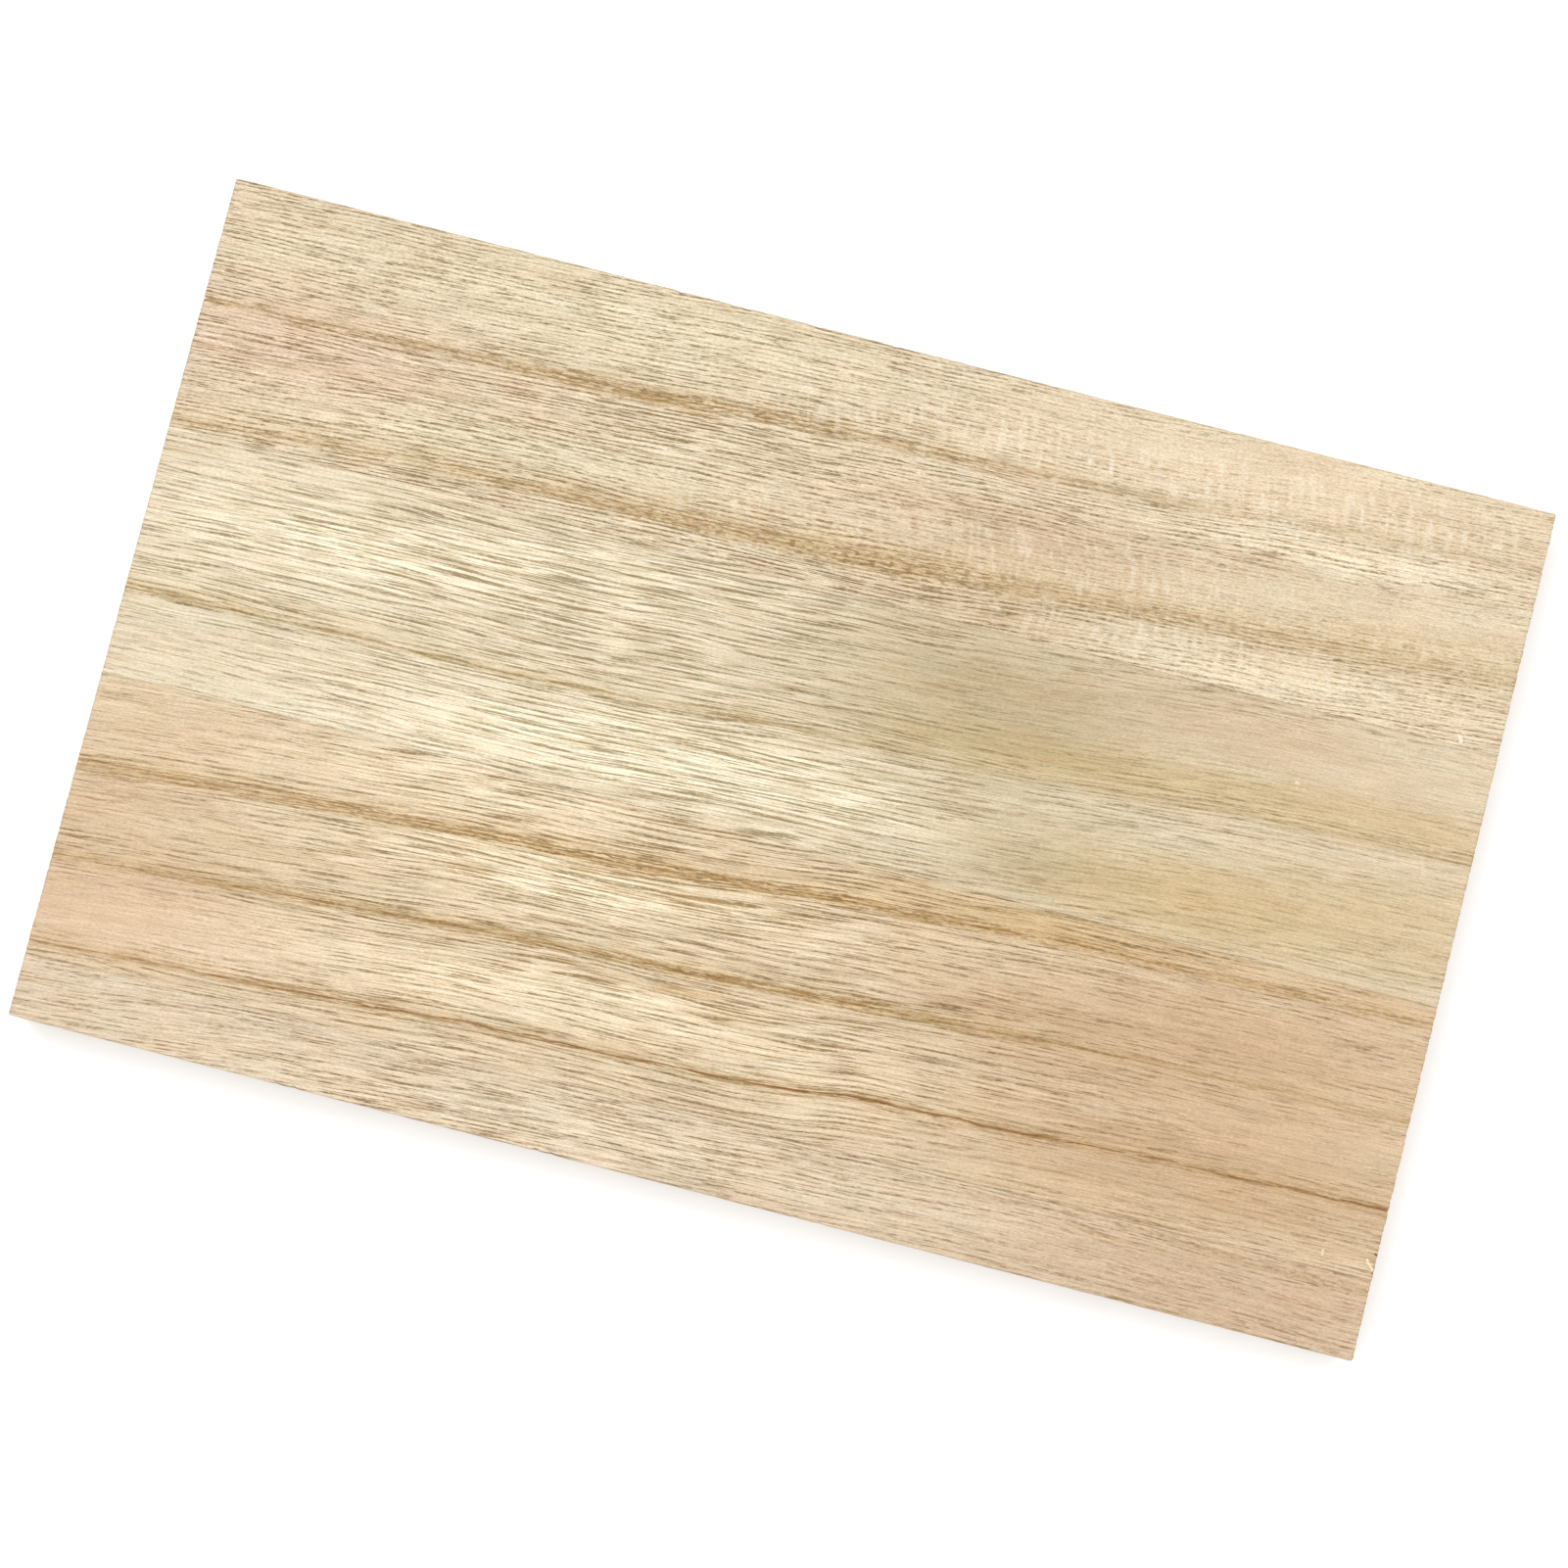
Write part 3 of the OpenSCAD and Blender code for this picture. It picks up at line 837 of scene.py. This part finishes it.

    # Single marks: a raised splinter at the right end, pale, with its painted shadow in dark dabs beside it, and
    # pale dabs
    for x0, y0, x1, y1, half, paint in MARKS[i]:
        long = math.hypot(x1 - x0, y1 - y0)
        tx, ty = (x1 - x0) / long, (y1 - y0) / long
        px, py = m.sub(m.split("place")[0], x0), m.sub(m.split("place")[1], y0)
        far = m.add(m.mul(px, tx), m.mul(py, ty))
        off = m.math("ABSOLUTE", m.sub(m.mul(py, tx), m.mul(px, ty)))
        dab = m.mul(m.ramp(off, half * 1.35, half * 0.65), m.ramp(far, -0.15, 0.15),
                    m.ramp(far, long + 0.15, long - 0.15), m.ramp(m.split("place")[2], 8.0, 8.6))
        col = m.mix(m.mul(dab, 0.9), col, srgb(*paint))

    # Fuzz of the sanded surface
    fuzz = m.noise(G, (1.2, 3.8, 3.8), (2, 2, 2), 1.0, 0.7)
    col = m.mix(1.0, col, m.mix(m.ramp(fuzz, 0.34, 0.66), srgb(*((230, 226, 219) if i == 0 else (236, 233, 228))), srgb(255, 255, 255)), "MULTIPLY")

    # Glue joints: a thin line; and painted shade on the eased outer edges
    rear, front, end = m.split("edge")
    wav = m.noise(G, (0.12, 0.02, 0.02), (3, 3, 3), 2.0, 0.6)
    lines = []
    if i > 0:
        lines.append((rear, JOINT[i - 1]))
    if i < 3:
        lines.append((front, JOINT[i]))
    for away, (left, right) in lines:
        near = m.ramp(away, 0.20, 0.05)
        strong = m.ramp(gx, 700 * i + 60, 700 * i + 230, left, right)
        col = m.mix(m.mul(near, m.ramp(wav, 0.35, 0.62, 0.4, 1.0), strong), col, srgb(140, 108, 70))
    # painted shade: the top darkens within about half a millimetre of the ends and the outer long edges
    rim = m.ramp(end, 0.55, 0.05)
    if i == 0:
        rim = m.math("MAXIMUM", rim, m.ramp(rear, 0.5, 0.05))
    if i == 3:
        rim = m.math("MAXIMUM", rim, m.ramp(front, 0.5, 0.05))
    col = m.mix(m.mul(rim, 0.40), col, m.mix(1.0, col, srgb(206, 196, 180), "MULTIPLY"))
    # the nicks in dark brown: torn fibres and painted shade inside the notches
    col = m.mix(m.mul(chip_fibres_and_shade, 0.85), col, srgb(96, 82, 64))

    # End grain: darker, and the pores are round holes there
    holes = m.noise(G, (0.5, 2.3, 2.3), (3, 7, 1), 1.0, 0.5)
    hole = m.mul(m.ramp(holes, 0.60, 0.68), endness)
    col = m.mix(m.mul(endness, 0.75), col, m.mix(1.0, col, srgb(226, 210, 188), "MULTIPLY"))
    col = m.mix(m.mul(hole, 0.65), col, srgb(140, 108, 72))
    # Overall level under the studio light
    col = m.mix(1.0, col, (LEVEL, LEVEL, LEVEL), "MULTIPLY")
    col = m.mix(1.0, col, (0.93, 0.92, 0.90), "DARKEN")

    # Surface: matt, a little silkier between the pores
    bsdf = m.node("ShaderNodeBsdfPrincipled")
    m.set(bsdf.inputs["Base Color"], col)
    rough = m.add(m.ramp(fib, 0.3, 0.7, 0.56, 0.66), m.mul(pores, 0.10))
    m.set(bsdf.inputs["Roughness"], rough)
    bsdf.inputs["Specular IOR Level"].default_value = 0.32
    bsdf.inputs["IOR"].default_value = 1.45
    high = m.sub(m.add(m.mul(fib, 0.25), m.mul(fuzz, 0.20)),
                 m.add(m.mul(pores, 0.8), m.mul(hole, 1.2)))
    bump = m.node("ShaderNodeBump")
    bump.inputs["Strength"].default_value = 0.35
    bump.inputs["Distance"].default_value = 0.00012
    m.set(bump.inputs["Height"], high)
    m.t.links.new(bump.outputs[0], bsdf.inputs["Normal"])
    out = m.node("ShaderNodeOutputMaterial")
    m.t.links.new(bsdf.outputs[0], out.inputs[0])
    return m.mat


for i, name in enumerate(NAMES):
    ob = build_lath(i)
    ob.data.materials.append(wood(i))
    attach(ob, "root")
    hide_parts(name)

# ---------------------------------------------------------------------------
# Stage, light and camera
# ---------------------------------------------------------------------------
fm = bpy.data.meshes.new("floor")
h = 3.0
fm.from_pydata([(-h, -h, -0.0003), (h, -h, -0.0003), (h, h, -0.0003), (-h, h, -0.0003)], [], [(0, 1, 2, 3)])
floor = bpy.data.objects.new("floor", fm)
bpy.context.scene.collection.objects.link(floor)
fmat = bpy.data.materials.new("floor_paper")
fmat.use_nodes = True
fb = fmat.node_tree.nodes["Principled BSDF"]
fb.inputs["Base Color"].default_value = (0.94, 0.94, 0.94, 1)
fb.inputs["Roughness"].default_value = 0.9
fb.inputs["Specular IOR Level"].default_value = 0.1
fm.materials.append(fmat)

world = bpy.data.worlds.new("studio")
world.use_nodes = True
bg = world.node_tree.nodes["Background"]
bg.inputs[0].default_value = (1.0, 1.0, 1.0, 1)
bg.inputs[1].default_value = 1.15
bpy.context.scene.world = world


def area(name, loc, size, power, target=(0, 0, 0)):
    d = bpy.data.lights.new(name, "AREA")
    d.shape = "RECTANGLE"
    d.size, d.size_y = size
    d.energy = power
    o = bpy.data.objects.new(name, d)
    o.location = loc
    v = np.array(target, float) - np.array(loc, float)
    from mathutils import Vector
    o.rotation_euler = Vector(v).to_track_quat("-Z", "Y").to_euler()
    bpy.context.scene.collection.objects.link(o)
    return o


area("key", (-0.75, 0.75, 0.95), (0.8, 0.8), 6.5)
area("fill", (0.9, -0.3, 1.1), (1.0, 1.0), 2.5)

cd = bpy.data.cameras.new("camera")
cd.sensor_fit = "HORIZONTAL"
cd.sensor_width = 36.0
cd.lens = 56.215
cd.clip_start = 0.01
cam = bpy.data.objects.new("camera", cd)
cam.location = (0.00473, -0.03315, 0.54183)
cam.rotation_euler = Euler((math.radians(3.0768), math.radians(-0.3014), math.radians(14.3859)), "XYZ")
bpy.context.scene.collection.objects.link(cam)
bpy.context.scene.camera = cam
bpy.context.scene.view_settings.view_transform = "Standard"
bpy.context.scene.view_settings.look = "None"
